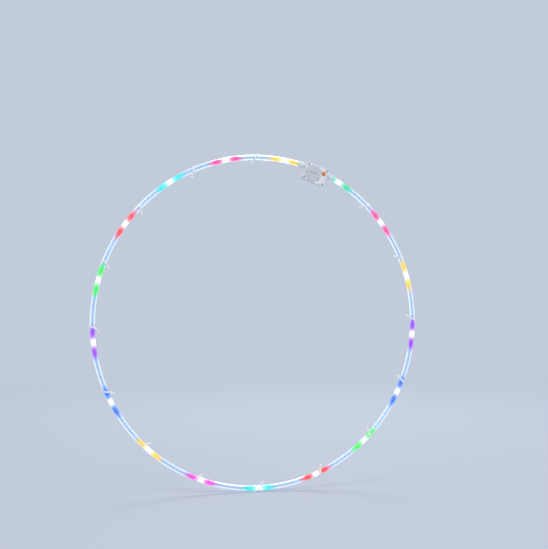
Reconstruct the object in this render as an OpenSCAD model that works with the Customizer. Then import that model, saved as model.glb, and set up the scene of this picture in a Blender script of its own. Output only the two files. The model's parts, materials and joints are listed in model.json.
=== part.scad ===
// Ring light: coloured lamps in a clear tube, tied to thin rods, with a coin-cell case in line.
// The ring lies in the XZ plane, round the Y axis. Angles run from +Z towards +X.
// A place on the ring has its own frame: x along the tube, y across the ring, z outwards.
// The front of the ring is -y. The rods that carry it run along z, behind the tube.

/* [Ring] */
// Radius of the ring, to the middle of the tube
ring_r = 262; // [200:1:320]
// Wall of the clear tube
tube_wall = 1; // [0.6:0.1:1.6]
// Place of the case on the ring, in degrees
case_angle = 21.75; // [0:0.25:45]

/* [Lamps] */
// Number of lamps round the ring
led_count = 17; // [10:1:24]
// Diameter of a lamp's lens
led_d = 2.9; // [2:0.1:4]
// Length of a lamp, from its flange to the tip of its dome
led_len = 5.4; // [4:0.2:7]
// Thickness of the flange at a lamp's foot
led_flange_t = 0.6; // [0.4:0.1:1]
// Diameter of a lamp's legs
leg_d = 0.44; // [0.3:0.02:0.5]
// Length of a lamp's legs behind the flange
leg_len = 1; // [0.6:0.1:2]
// Distance between a lamp's legs
leg_pitch = 1.2; // [0.8:0.1:1.4]
// Free length of wire between the case's nozzle and the first lamp
lead_in = 13; // [11:0.5:16]

/* [Wires] */
// Diameter of each of the two twisted wires
wire_d = 1; // [0.6:0.1:1.2]
// Turns of the pair between one lamp and the next
twists = 2; // [1:1:3]
// Space between the two wires where they lie together
pair_gap = 0.5; // [0.45:0.05:0.8]
// Length over which the wires part to go round a lamp
parting = 8; // [6:0.5:10]

/* [Ties] */
// Diameter of the rods that the ties and the clip hold
rod_d = 2; // [1.6:0.1:2.6]
// Tied places round the ring, with the case at one of them
tie_places = 16; // [8:1:32]
// Width of a tie's strap
tie_w = 2.5; // [1.8:0.1:3.6]
// Thickness of a tie's strap
tie_t = 1; // [0.7:0.1:1.4]
// Width of a tie's head
tie_head_w = 4.4; // [4:0.1:5.5]
// Height of a tie's head, across the ring
tie_head_h = 4.2; // [3:0.1:5]
// How far a tie's head stands out from its strap
tie_head_t = 2.2; // [1.5:0.1:3]
// Radius of the corners of a tie's head
tie_head_r = 0.6; // [0.2:0.1:1]
// Length of the cut tail
tie_tail = 5; // [2:0.5:12]
// Pitch of the teeth on a tie's tail
tooth_pitch = 0.8; // [0.6:0.1:1.2]
// Height of the teeth
tooth_t = 0.15; // [0.1:0.05:0.3]
// Inner radius of a strap's bends behind the rod
tie_bend = 1.8; // [1.2:0.1:2.2]

/* [Battery] */
// Diameter of a coin cell
cell_d = 20; // [16:0.5:24.5]
// Thickness of a coin cell
cell_t = 3.2; // [2:0.1:4]
// Thickness of the sheet-metal contacts
contact_t = 0.3; // [0.2:0.05:0.4]
// Width of the contacts
contact_w = 4; // [3:0.5:5]
// Height of the spring boss under the cells
spring_h = 0.35; // [0.25:0.05:0.6]

/* [Case] */
// Walls and floor of the case
case_wall = 1.6; // [1.2:0.1:2]
// Thickness of the front cover
cover_t = 2; // [1.8:0.1:3]
// Thickness of the seal between the two halves
gasket_t = 0.5; // [0.3:0.1:1]
// Radius of the case's corners
corner_r = 4; // [3.6:0.1:5]
// Radius of the case's rounded edges
edge_r = 1.2; // [0.6:0.1:1.6]
// Margin of the case round the lid
lid_margin = 1.05; // [0.9:0.05:2]
// Length of the bay for the switch, beside the lid
switch_bay = 10; // [9.5:0.5:16]
// How far the middle of the case lies inside the tube's line
case_drop = 7.5; // [6:0.5:9]
// Length of the round boss that a tube end butts on
boss_len = 2; // [1.5:0.5:4]
// Length of the nozzle inside a tube end
nozzle_len = 5.5; // [4:0.5:8]
// Bore of the nozzle that the wires pass
nozzle_bore = 3.2; // [2.8:0.1:3.4]
// Length of each clip jaw
jaw_len = 6; // [4:0.5:9]
// Wall of the clip jaws
jaw_wall = 1.1; // [0.9:0.1:1.6]

/* [Lid] */
// Thickness of the lid's flange
lid_t = 1.4; // [1.2:0.1:2]
// Wall of the lid's skirt
skirt_wall = 1.3; // [1:0.1:2]
// Reach of the locking lugs
lug_reach = 0.9; // [0.7:0.1:1.2]
// Thickness of the locking lugs
lug_t = 0.85; // [0.6:0.05:1.2]
// Width of the locking lugs, in degrees
lug_span = 28; // [20:1:32]
// Turn that frees the lid, in degrees
lid_turn = 60; // [50:1:70]
// Thickness of the seal ring's cord
seal_d = 0.9; // [0.7:0.1:1.2]
// Length of the coin slot
coin_slot_l = 13; // [8:0.5:16]
// Width of the coin slot
coin_slot_w = 1.8; // [1.4:0.1:2.4]
// Depth of the coin slot
coin_slot_t = 0.8; // [0.5:0.1:1]

/* [Button] */
// Diameter of the button's cap
button_d = 6.4; // [5:0.2:6.6]
// How far the cap stands out of the cover
button_proud = 1.1; // [0.8:0.1:2]
// Travel of the button
button_travel = 0.6; // [0.3:0.1:0.6]
// Width of the switch's body
switch_w = 6; // [5:0.2:6.2]

/* [Sleeves] */
// Length of the sleeve on each tube end
sleeve_len = 11; // [8:0.5:16]
// Wall of the sleeve
sleeve_t = 0.5; // [0.3:0.1:0.8]

/* [Hidden] */
$fn = 64;
ring_fn = 240;
// Clearances: hair for what touches, snug for what slips over, tie_room inside a strap,
// loose for what moves
hair = 0.05;
snug = 0.06;
tie_room = 0.1;
loose = 0.15;
// A cut runs this far past the face that it opens
past = 1;

function arc_deg(length) = length / ring_r * 180 / PI;

// Wires, lamps and tube, from the inside out
wire_r = wire_d / 2;
rings_per_gap = 20;
wire_sides = 6;
ring_turn = 360 * twists / rings_per_gap;
led_flange_out = 0.1;
led_flange_r = led_d / 2 + led_flange_out;
led_room = 0.1;
close_r = (wire_d + pair_gap) / 2;
berth_r = (led_flange_r + led_room + wire_r) / cos(ring_turn / 2);
wire_room = 0.24;
bore_r = berth_r + wire_r + wire_room;
tube_r = bore_r + tube_wall;

// Tie loops: a sleeve round tube and rod, cut by a slanting slab that misses the rod
rod_r = rod_d / 2;
rod_y = tube_r + rod_r + hair;
tie_in_r = tube_r + tie_room;
tie_back_y = rod_y + rod_r + snug;
tie_bend_y = tie_back_y - tie_bend;
rod_pass = rod_r + loose;
tie_slant = atan(rod_pass / tie_in_r) + asin(tie_w / 2 / norm([tie_in_r, rod_pass]));
tie_pitch = 360 / tie_places;
tie_head_z = (tie_in_r + tie_t) / cos(tie_slant) + tie_head_t;
tie_window = (tie_head_w - tie_w) / 6;
tail_y = -0.5;
tail_cut = 12;
tooth_side = 0.3;

// Lid and case outline, from the two cells outwards
cell_count = 2;
cell_r = cell_d / 2;
cell_room = 0.25;
pocket_r = cell_r + cell_room;
pocket_wall = 1;
lid_bore_room = 0.6;
lid_bore_r = cell_r + lid_bore_room;
skirt_r = lid_bore_r - loose;
lug_r = skirt_r + lug_reach;
notch_r = lug_r + loose;
seal_land = 0.2;
seal_r = notch_r + seal_land + seal_d / 2;
seal_cover = 0.3;
lid_r = seal_r + seal_d / 2 + seal_cover;
lug_count = 3;
lug_first = 30;
notch_room = 2;
case_w = 2 * (lid_r + lid_margin);
case_l = case_w + switch_bay;
cell_x = (case_w - case_l) / 2;

// Levels across the case, from its back to its front
clip_r = rod_r + hair;
clip_floor = 0.4;
jaw_grip = 0.15;
back_y = rod_y - clip_r - clip_floor;
floor_y = back_y - case_wall;
cell_back_y = floor_y - contact_t - spring_h - hair;
cell_front_y = cell_back_y - cell_count * cell_t;
skirt_gap = 0.9;
skirt_y = cell_front_y - skirt_gap;
inside_y = skirt_y - lug_t - loose;
rim_y = inside_y + gasket_t;
front_y = inside_y - cover_t;

// Board, switch and button
board_t = 1;
board_gap = 0.3;
board_back_y = -close_r - wire_r - hair;
board_front_y = board_back_y - board_t;
switch_h = 2.7;
switch_y = board_front_y - switch_h;
plunger_r = 1.6;
plunger_out = 0.7;
plunger_in = 0.7;
plunger_y = switch_y - plunger_out;
button_r = button_d / 2;
lip_w = 1.1;
lip_t = 0.7;
lip_gap = 0.1;
lip_room = 0.7;
lip_y = inside_y + lip_gap;
button_x = case_l / 2 - case_wall - lip_room - button_r - lip_w;
button_z = 5.5;

// Screws and their bosses
screw_r = 0.8;
screw_head_r = 1.75;
screw_head_t = 1.1;
screw_len = 7;
screw_inset = 2.8;
screw_boss_r = 2;
screw_x = case_l / 2 - screw_inset;
screw_z = case_w / 2 - screw_inset;

// Circuit board, between the cell pocket and the end wall
board_x0 = cell_x + pocket_r + pocket_wall + board_gap;
board_x1 = case_l / 2 - case_wall - board_gap;
board_h = 2 * (screw_z - screw_boss_r - board_gap);
post_r = 0.9;
post_x0 = board_x0 + post_r + board_gap;
post_x1 = board_x1 - post_r - board_gap;
post_z = 4.2;
foot_len = 2.2;
board_mid_x = (board_x0 + board_x1) / 2;
chip_l = 4.9;
chip_w = 3.9;
chip_t = 1.5;
chip_z = -5.6;

// Tube ends, measured along the ring from the middle of the case
sleeve_gap = 0.4;
end_angle = asin(case_l / 2 / ring_r);
nozzle_angle = end_angle + arc_deg((boss_len + nozzle_len) / 2);
tube_angle = end_angle + arc_deg(boss_len + snug);
led_first = case_angle + end_angle + arc_deg(boss_len + nozzle_len + lead_in);
led_pitch = 360 / led_count;
ring_step = led_pitch / rings_per_gap;
wire_start = -ceil(arc_deg(boss_len + nozzle_len + lead_in + case_wall) / ring_step) - 1;
wire_end = (led_count - 1) * rings_per_gap + 1;

LED_COLOURS = ["mediumspringgreen", "deeppink", "gold", "blueviolet", "dodgerblue", "lime", "red", "cyan",
    "magenta", "gold", "dodgerblue", "blueviolet", "lime", "red", "cyan", "deeppink", "gold"];
function led_name(i) = str("led_", i < 9 ? "0" : "", i + 1);
LED_NODES = [for (i = [0 : led_count - 1]) led_name(i)];

// Places

module on_ring(angle) {
    rotate([0, angle, 0]) translate([0, 0, ring_r]) children();
}

// Sweeps a round section along the ring from angle a0 to angle a1
module ring_arc(a0, a1) {
    rotate([0, a1 - 90, 0])
        rotate([90, 0, 0])
            rotate_extrude(angle = a1 - a0, $fn = ring_fn)
                translate([ring_r, 0])
                    children();
}

// The case's frame: x along the tube, z outwards from the middle of the case
module in_case() {
    on_ring(case_angle) translate([0, 0, -case_drop]) children();
}

// Stretches an outline in x and z from one level across the case to another
module plate(y0, y1) {
    translate([0, y1, 0]) rotate([90, 0, 0]) linear_extrude(y1 - y0) children();
}

module post(x, z, r, y0, y1) {
    translate([x, y1, z]) rotate([90, 0, 0]) cylinder(r = r, h = y1 - y0);
}

// A block given by its middle in x and z and its two levels
module block(x, z, size_x, size_z, y0, y1) {
    translate([x - size_x / 2, y0, z - size_z / 2]) cube([size_x, y1 - y0, size_z]);
}

// A stretch of a round collar about the cells' axis
module sector(r0, r1, y0, y1, middle, span) {
    translate([cell_x, y1, 0])
        rotate([90, 0, 0])
            rotate([0, 0, middle - span / 2])
                rotate_extrude(angle = span)
                    translate([r0, 0])
                        square([r1 - r0, y1 - y0]);
}

// An oblong with round corners, given by its half length, half width and corner radius
module rounded_rect(half_l, half_w, r) {
    translate([r - half_l, -half_w]) square([2 * (half_l - r), 2 * half_w]);
    translate([-half_l, r - half_w]) square([2 * half_l, 2 * (half_w - r)]);
    for (sx = [-1, 1])
        for (sy = [-1, 1])
            translate([sx * (half_l - r), sy * (half_w - r)])
                circle(r);
}

module at_corners(dx, dz) {
    for (sx = [-1, 1])
        for (sz = [-1, 1])
            translate([sx * dx, 0, sz * dz])
                children();
}

// Tube, wires and lamps

module light_tube() {
    color("aliceblue", 0.5)
        ring_arc(case_angle + tube_angle, case_angle + 360 - tube_angle)
            difference() {
                circle(tube_r);
                circle(bore_r);
            }
}

// How far along the ring station k lies from the nearest lamp's legs
function past_lamp(k) = let (n = max(0, min(led_count - 1, round((k - 1) / rings_per_gap))))
    (k - n * rings_per_gap) * ring_step * PI / 180 * ring_r;
// Share of the way that the wires have parted there: none between lamps, all beside one
function parted(s) = let (reach = led_len + leg_len)
    max(0, min(1, 1 - max(-s - leg_len, s - reach) / parting));
function wire_off(k) = close_r + (berth_r - close_r) * parted(past_lamp(k));
function wire_phase(k, side) = 180 * side + ring_turn * k;
function ring_point(angle, out, across) =
    [(ring_r + out) * sin(angle), across, (ring_r + out) * cos(angle)];
function wire_ring(k, side) =
    let (a = led_first + k * ring_step, off = wire_off(k), p = wire_phase(k, side))
    [for (j = [0 : wire_sides - 1])
        let (q = 360 * j / wire_sides)
        ring_point(a, off * cos(p) + wire_r * cos(q), off * sin(p) + wire_r * sin(q))];
function tube_faces(rings, m) = concat(
    [for (i = [0 : rings - 2]) for (j = [0 : m - 1])
        let (n = (j + 1) % m) [i * m + j, i * m + n, (i + 1) * m + n]],
    [for (i = [0 : rings - 2]) for (j = [0 : m - 1])
        let (n = (j + 1) % m) [i * m + j, (i + 1) * m + n, (i + 1) * m + j]],
    [for (j = [1 : m - 2]) [0, j + 1, j]],
    [for (j = [1 : m - 2]) [(rings - 1) * m, (rings - 1) * m + j, (rings - 1) * m + j + 1]]);

// One wire of the pair, twisted between the lamps and parted round each of them
module wire(side) {
    stations = [wire_start : wire_end];
    points = [for (k = stations) each wire_ring(k, side)];
    polyhedron(points, tube_faces(wire_end - wire_start + 1, wire_sides));
}

module wire_feed() {
    color("silver") wire(0);
}

module wire_return() {
    color("lightsteelblue") wire(1);
}

// A lamp with its dome along the tube and its two legs bent out to the wires
module led(i) {
    lens_r = led_d / 2;
    leg_r = leg_d / 2;
    leg_z = leg_pitch / 2;
    leg_reach = berth_r - wire_r - hair - leg_z;
    dome_x = leg_len + led_len - lens_r;
    color(LED_COLOURS[i % len(LED_COLOURS)])
        on_ring(led_first + i * led_pitch)
            union() {
                translate([leg_len, 0, 0]) rotate([0, 90, 0]) cylinder(r = led_flange_r, h = led_flange_t);
                translate([leg_len, 0, 0]) rotate([0, 90, 0]) cylinder(r = lens_r, h = dome_x - leg_len);
                translate([dome_x, 0, 0]) sphere(lens_r);
                for (side = [0, 180])
                    rotate([side, 0, 0])
                        translate([0, 0, leg_z]) {
                            rotate([0, 90, 0]) cylinder(r = leg_r, h = leg_len + led_flange_t / 2);
                            sphere(leg_r);
                            cylinder(r = leg_r, h = leg_reach);
                        }
            }
}

// Ties

// Section of the space that a loop holds, grown by g: tube in front, rod behind
module loop_section(g) {
    bend_z = tie_in_r - tie_bend;
    circle(tie_in_r + g);
    translate([-tie_in_r - g, 0]) square([2 * (tie_in_r + g), tie_bend_y]);
    translate([-bend_z, 0]) square([2 * bend_z, tie_back_y + g]);
    for (side = [-1, 1])
        translate([side * bend_z, tie_bend_y])
            circle(tie_bend + g);
}

module loop_prism(g, length) {
    rotate([0, 90, 0]) linear_extrude(length, center = true) loop_section(g);
}

// Head of a tie, with the window that its tail comes out of
module tie_head() {
    difference() {
        translate([0, 0, -tie_head_z])
            linear_extrude(tie_head_z - tie_in_r / 2)
                rounded_rect(tie_head_w / 2, tie_head_h / 2, tie_head_r);
        translate([-tie_w / 2 - tie_window, tail_y - tie_t / 2 - tie_window, -tie_head_z - past])
            cube([tie_w + 2 * tie_window, tie_t + 2 * tie_window, past + tie_head_t - tie_t]);
    }
}

// Tail of a tie, toothed in front and cut off at a slant
module tie_strip() {
    tooth_w = tie_w - 2 * tooth_side;
    end_z = -tie_head_z - tie_tail;
    difference() {
        union() {
            translate([-tie_w / 2, tail_y - tie_t / 2, end_z]) cube([tie_w, tie_t, tie_tail + tie_head_t]);
            for (i = [1 : floor(tie_tail / tooth_pitch)])
                translate([-tooth_w / 2, tail_y - tie_t / 2 - tooth_t, -tie_head_z - i * tooth_pitch])
                    cube([tooth_w, tooth_t + tie_t / 2, tooth_pitch / 2]);
        }
        translate([-tie_w / 2, tail_y - tie_t, end_z])
            rotate([0, -tail_cut, 0])
                translate([-past, 0, -tie_w])
                    cube([2 * tie_w, 2 * tie_t, tie_w]);
    }
}

module tie() {
    reach = 4 * tie_in_r + tie_w;
    intersection() {
        difference() {
            loop_prism(tie_t, reach);
            loop_prism(0, reach + past);
        }
        rotate([0, tie_slant, 0]) cube([tie_w, 2 * reach, 2 * reach], center = true);
    }
    difference() {
        rotate([0, tie_slant, 0]) {
            tie_head();
            tie_strip();
        }
        loop_prism(0, reach + past);
    }
}

module spoke_ties() {
    color("whitesmoke")
        for (k = [1 : tie_places - 1])
            on_ring(case_angle + k * tie_pitch)
                tie();
}

// Sleeves on the tube's ends

module sleeve(a0, a1) {
    color("lightgray")
        ring_arc(a0, a1)
            difference() {
                circle(tube_r + snug + sleeve_t);
                circle(tube_r + snug);
            }
}

module sleeve_start() {
    from = case_angle + end_angle + arc_deg(sleeve_gap);
    sleeve(from, from + arc_deg(sleeve_len));
}

module sleeve_end() {
    to = case_angle - end_angle - arc_deg(sleeve_gap);
    sleeve(to - arc_deg(sleeve_len), to);
}

// Case

// Outline of the case, drawn in by an inset
module outline(inset) {
    rounded_rect(case_l / 2 - inset, case_w / 2 - inset, corner_r - inset);
}

// A block of the case's outline with the edge rounded at level y_edge
module round_block(y_edge, y_flat) {
    turn = sign(y_flat - y_edge);
    edge = min(edge_r, abs(y_flat - y_edge) / 2 - hair);
    y_round = y_edge + turn * edge;
    half_l = case_l / 2 - corner_r;
    half_w = case_w / 2 - corner_r;
    plate(min(y_edge, y_flat), max(y_edge, y_flat)) outline(edge);
    plate(min(y_round, y_flat), max(y_round, y_flat)) outline(0);
    at_corners(half_l, half_w)
        translate([0, y_round, 0])
            rotate([90, 0, 0])
                rotate_extrude()
                    translate([corner_r - edge, 0])
                        circle(edge);
    for (side = [-1, 1]) {
        translate([-half_l, y_round, side * (case_w / 2 - edge)])
            rotate([0, 90, 0])
                cylinder(r = edge, h = 2 * half_l);
        translate([side * (case_l / 2 - edge), y_round, -half_w])
            cylinder(r = edge, h = 2 * half_w);
    }
}

// Boss and ribbed nozzle on one end of the case, along the tube
module nozzle() {
    half = (boss_len + nozzle_len) / 2;
    root = -half - case_wall / 2;
    nozzle_room = 0.08;
    tip_r = bore_r - nozzle_room;
    rib_t = 0.3;
    rib_r = tip_r - rib_t;
    ribs = 3;
    rib_len = nozzle_len / ribs;
    rib_points = [for (i = [0 : ribs - 1])
        for (p = [[tip_r, i * rib_len], [rib_r, (i + 1) * rib_len]])
            p + [0, boss_len - half]];
    rotate([0, 90, 0])
        rotate_extrude()
            polygon(concat([[0, root], [tube_r, root], [tube_r, boss_len - half]], rib_points, [[0, half]]));
}

// Puts its children at the two ends of the case: 1 leads to the first lamp, -1 to the last
module at_end(side) {
    translate([0, 0, case_drop - ring_r])
        rotate([0, side * nozzle_angle, 0])
            translate([0, 0, ring_r])
                rotate([0, 0, side > 0 ? 0 : 180])
                    children();
}

// Section of a clip jaw: a collar round the rod, with a mouth that grips it and flares behind
module jaw_section() {
    jaw_r = clip_r + jaw_wall;
    mouth = rod_r - jaw_grip;
    mouth_y = sqrt(clip_r * clip_r - mouth * mouth);
    root_y = back_y - case_wall / 2;
    translate([-jaw_r, root_y]) square([2 * jaw_r, rod_y - root_y]);
    translate([0, rod_y])
        difference() {
            circle(jaw_r);
            polygon([[-mouth, mouth_y], [mouth, mouth_y], [jaw_r, jaw_r], [-jaw_r, jaw_r]]);
        }
}

// Snap jaws behind the case, one near each edge
module clip_jaws() {
    jaw_z = case_w / 2 - edge_r - jaw_len / 2;
    for (side = [-1, 1])
        translate([0, 0, side * jaw_z])
            linear_extrude(jaw_len, center = true)
                jaw_section();
}

module case_base() {
    slot_w = contact_w + 2 * board_gap;
    pocket_y = cell_front_y + cell_t / 4;
    color("gainsboro")
        in_case()
            difference() {
                union() {
                    difference() {
                        round_block(back_y, rim_y);
                        plate(rim_y - past, floor_y) outline(case_wall);
                    }
                    difference() {
                        post(cell_x, 0, pocket_r + pocket_wall, pocket_y, floor_y + hair);
                        post(cell_x, 0, pocket_r, pocket_y - past, floor_y);
                        block(cell_x + pocket_r, 0, 4 * pocket_wall, slot_w, pocket_y - past, floor_y);
                    }
                    at_corners(screw_x, screw_z) post(0, 0, screw_boss_r, rim_y, floor_y + hair);
                    for (x = [post_x0, post_x1])
                        for (side = [-1, 1])
                            post(x, side * post_z, post_r, board_back_y + hair / 2, floor_y + hair);
                    at_end(1) nozzle();
                    at_end(-1) nozzle();
                    clip_jaws();
                }
                at_corners(screw_x, screw_z)
                    post(0, 0, screw_r + hair, rim_y - past, front_y + screw_head_t + screw_len + loose);
                at_end(1)
                    rotate([0, 90, 0])
                        cylinder(d = nozzle_bore, h = 2 * (boss_len + nozzle_len) + case_wall, center = true);
                translate([0, rod_y, -case_w / 2 - past])
                    cylinder(r = clip_r, h = case_w + 2 * past);
            }
}

module case_cover() {
    groove = seal_d + snug;
    color("gainsboro")
        in_case()
            difference() {
                round_block(front_y, inside_y);
                post(cell_x, 0, lid_bore_r, front_y - past, inside_y + past);
                for (i = [0 : lug_count - 1])
                    sector(lid_bore_r - past, notch_r, front_y - past, inside_y + past,
                        lug_first + lid_turn + i * 360 / lug_count, lug_span + 2 * notch_room);
                sector(seal_r - groove / 2, seal_r + groove / 2, front_y - past, front_y + seal_d, 0, 360);
                post(button_x, button_z, button_r + loose, front_y - past, inside_y + past);
                at_corners(screw_x, screw_z) {
                    post(0, 0, screw_r + loose, front_y - past, inside_y + past);
                    post(0, 0, screw_head_r + loose, front_y - past, front_y + screw_head_t + hair);
                }
            }
}

module case_gasket() {
    set_back = 0.35;
    reach_in = 0.1;
    screw_room = 0.3;
    color("black")
        in_case()
            difference() {
                plate(inside_y + hair / 2, rim_y - hair / 2) outline(set_back);
                plate(inside_y - past, rim_y + past) outline(case_wall - reach_in);
                at_corners(screw_x, screw_z) post(0, 0, screw_r + screw_room, inside_y - past, rim_y + past);
            }
}

module case_screws() {
    recess_w = 0.5;
    recess_l = 2.2;
    recess_t = 0.6;
    head_y = front_y + screw_head_t;
    color("silver")
        in_case()
            at_corners(screw_x, screw_z)
                difference() {
                    union() {
                        post(0, 0, screw_head_r, front_y, head_y);
                        post(0, 0, screw_r, head_y - hair, head_y + screw_len);
                    }
                    block(0, 0, recess_w, recess_l, front_y - past, front_y + recess_t);
                    block(0, 0, recess_l, recess_w, front_y - past, front_y + recess_t);
                }
}

// Lid, turned in its bore to lock, with a slot for a coin
module battery_lid() {
    face_y = front_y - hair - lid_t;
    pad_r = 4;
    edge = lid_t / 2;
    color("silver")
        in_case()
            difference() {
                union() {
                    post(cell_x, 0, lid_r - edge, face_y, front_y - hair);
                    post(cell_x, 0, lid_r, face_y + edge, front_y - hair);
                    translate([cell_x, face_y + edge, 0])
                        rotate([90, 0, 0])
                            rotate_extrude()
                                translate([lid_r - edge, 0])
                                    circle(edge);
                    sector(skirt_r - skirt_wall, skirt_r, front_y - lid_t / 2, skirt_y, 0, 360);
                    for (i = [0 : lug_count - 1])
                        sector(skirt_r - skirt_wall / 2, lug_r, skirt_y - lug_t, skirt_y,
                            lug_first + i * 360 / lug_count, lug_span);
                    post(cell_x, 0, pad_r, front_y - lid_t / 2, cell_front_y - loose);
                }
                block(cell_x, 0, coin_slot_l, coin_slot_w, face_y - past, face_y + coin_slot_t);
            }
}

module lid_seal() {
    color("firebrick")
        in_case()
            translate([cell_x, front_y + seal_d / 2, 0])
                rotate([90, 0, 0])
                    rotate_extrude()
                        translate([seal_r, 0])
                            circle(d = seal_d);
}

// Battery and contacts

// A coin cell with its stepped negative face towards the back
module coin_cell(back) {
    step_r = cell_r - 1.3;
    step_t = 0.35;
    edge = 0.4;
    color("lightgray")
        in_case()
            translate([cell_x, back, 0])
                rotate([90, 0, 0])
                    rotate_extrude()
                        polygon([[0, 0], [step_r, 0], [step_r, step_t], [cell_r - edge, step_t],
                            [cell_r, step_t + edge], [cell_r, cell_t - edge], [cell_r - edge, cell_t],
                            [0, cell_t]]);
}

module cell_inner() {
    coin_cell(cell_back_y);
}

module cell_outer() {
    coin_cell(cell_back_y - cell_t);
}

// Strip on the floor with a spring boss under the cells, turned up to the board's back
module contact_negative() {
    riser_x = board_x0 + foot_len;
    boss_r = 3;
    color("goldenrod")
        in_case() {
            block((cell_x + riser_x) / 2, 0, riser_x - cell_x, contact_w, floor_y - contact_t, floor_y);
            block(riser_x - contact_t / 2, 0, contact_t, contact_w, board_back_y, floor_y);
            post(cell_x, 0, boss_r, floor_y - contact_t - spring_h, floor_y);
        }
}

// Leaf beside the outer cell, with a rolled bump on the cell's side and a foot on the board's front
module contact_positive() {
    bump_r = 0.55;
    leaf_x = cell_x + cell_r + 2 * hair + bump_r;
    leaf_inset = 0.4;
    bump_up = 0.3;
    leaf_top = cell_front_y + leaf_inset;
    foot_y = board_front_y - contact_t;
    bump_y = (leaf_top + foot_y) / 2 - bump_up;
    color("goldenrod")
        in_case() {
            translate([leaf_x, leaf_top, -contact_w / 2])
                cube([contact_t, board_front_y - leaf_top, contact_w]);
            translate([leaf_x, bump_y, -contact_w / 2]) cylinder(r = bump_r, h = contact_w);
            translate([leaf_x, foot_y, -contact_w / 2])
                cube([board_x0 + foot_len - leaf_x, contact_t, contact_w]);
        }
}

// Board and what is on it

module circuit_board() {
    color("seagreen")
        in_case()
            block(board_mid_x, 0, board_x1 - board_x0, board_h, board_front_y, board_back_y);
}

// Chip with four bent legs on each long side
module controller_chip() {
    legs = 4;
    leg_gap = 1.27;
    leg_w = 0.4;
    leg_t = 0.2;
    leg_out = 1.05;
    leg_y = board_front_y - chip_t / 2;
    shoulder = leg_out / 2;
    color("black")
        in_case() {
            block(board_mid_x, chip_z, chip_w, chip_l, board_front_y - chip_t, board_front_y - leg_t / 2);
            for (i = [0 : legs - 1])
                for (side = [-1, 1])
                    translate([board_mid_x, 0, chip_z + (i - (legs - 1) / 2) * leg_gap]) {
                        block(side * (chip_w + shoulder) / 2, 0, shoulder + leg_t, leg_w,
                            leg_y - leg_t, leg_y);
                        block(side * (chip_w + leg_out) / 2, 0, leg_t, leg_w, leg_y - leg_t, board_front_y);
                    }
        }
}

module limit_resistors() {
    size_x = 3.2;
    size_z = 1.6;
    size_y = 0.6;
    first_z = chip_z + chip_l / 2 + 1.3;
    pitch_z = 2.4;
    color("dimgray")
        in_case()
            for (i = [0, 1])
                block(board_x1 - size_x / 2 - board_gap, first_z + i * pitch_z, size_x, size_z,
                    board_front_y - size_y, board_front_y);
}

module switch_body() {
    color("black")
        in_case()
            difference() {
                block(button_x, button_z, switch_w, switch_w, switch_y, board_front_y);
                post(button_x, button_z, plunger_r + hair, switch_y - past,
                    switch_y + plunger_in + button_travel + loose);
            }
}

module switch_plunger() {
    color("ivory")
        in_case()
            post(button_x, button_z, plunger_r, plunger_y, switch_y + plunger_in);
}

// Soft cap with a dished face, a lip behind the cover and a stem on the switch's plunger
module push_button() {
    face_y = front_y - button_proud;
    edge = 0.6;
    dish_r = 12;
    dish_t = 0.25;
    color("orangered")
        in_case()
            difference() {
                union() {
                    post(button_x, button_z, button_r - edge, face_y, lip_y + lip_t);
                    post(button_x, button_z, button_r, face_y + edge, lip_y + lip_t);
                    translate([button_x, face_y + edge, button_z])
                        rotate([90, 0, 0])
                            rotate_extrude()
                                translate([button_r - edge, 0])
                                    circle(edge);
                    post(button_x, button_z, button_r + lip_w, lip_y, lip_y + lip_t);
                    post(button_x, button_z, plunger_r, lip_y, plunger_y - hair);
                }
                translate([button_x, face_y + dish_t - dish_r, button_z]) sphere(dish_r);
            }
}

light_tube();
wire_feed();
wire_return();
spoke_ties();
sleeve_start();
sleeve_end();
case_base();
case_cover();
case_gasket();
case_screws();
battery_lid();
lid_seal();
cell_inner();
cell_outer();
contact_negative();
contact_positive();
circuit_board();
controller_chip();
limit_resistors();
switch_body();
switch_plunger();
push_button();
for (i = [0 : led_count - 1])
    led(i);
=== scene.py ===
import json
import math

import bmesh
import bpy
from mathutils import Matrix, Vector


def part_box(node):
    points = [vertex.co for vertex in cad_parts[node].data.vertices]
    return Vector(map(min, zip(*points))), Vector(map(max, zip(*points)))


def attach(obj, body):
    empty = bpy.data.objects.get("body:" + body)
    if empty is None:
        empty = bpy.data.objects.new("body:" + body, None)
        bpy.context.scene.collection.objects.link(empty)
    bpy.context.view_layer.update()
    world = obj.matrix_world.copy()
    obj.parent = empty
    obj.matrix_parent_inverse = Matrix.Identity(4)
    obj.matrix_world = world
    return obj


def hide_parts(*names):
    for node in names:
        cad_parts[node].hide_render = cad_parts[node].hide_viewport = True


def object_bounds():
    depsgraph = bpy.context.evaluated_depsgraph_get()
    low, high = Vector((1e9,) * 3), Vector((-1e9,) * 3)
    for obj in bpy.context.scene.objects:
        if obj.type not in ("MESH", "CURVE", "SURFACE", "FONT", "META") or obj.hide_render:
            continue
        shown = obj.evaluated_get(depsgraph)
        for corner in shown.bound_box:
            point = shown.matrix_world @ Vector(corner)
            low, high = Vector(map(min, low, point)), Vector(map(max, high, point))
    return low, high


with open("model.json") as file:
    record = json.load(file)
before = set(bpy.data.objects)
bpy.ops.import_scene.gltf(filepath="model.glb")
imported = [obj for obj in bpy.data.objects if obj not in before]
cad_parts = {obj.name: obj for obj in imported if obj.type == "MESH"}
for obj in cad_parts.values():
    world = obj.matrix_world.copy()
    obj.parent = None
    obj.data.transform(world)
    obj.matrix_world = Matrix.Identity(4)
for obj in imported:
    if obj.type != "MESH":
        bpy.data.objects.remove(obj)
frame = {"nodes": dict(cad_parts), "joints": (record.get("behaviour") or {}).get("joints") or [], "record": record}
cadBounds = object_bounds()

mm = 0.001
closeBy = 0.001 * mm      # points nearer than this are one point
mainly = 0.9              # share of a direction from which it counts as along an axis
nodes = frame["nodes"]
scene = bpy.context.scene
alongX = Matrix.Rotation(math.pi / 2, 4, "Y")      # lays what stands on z along x


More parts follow.
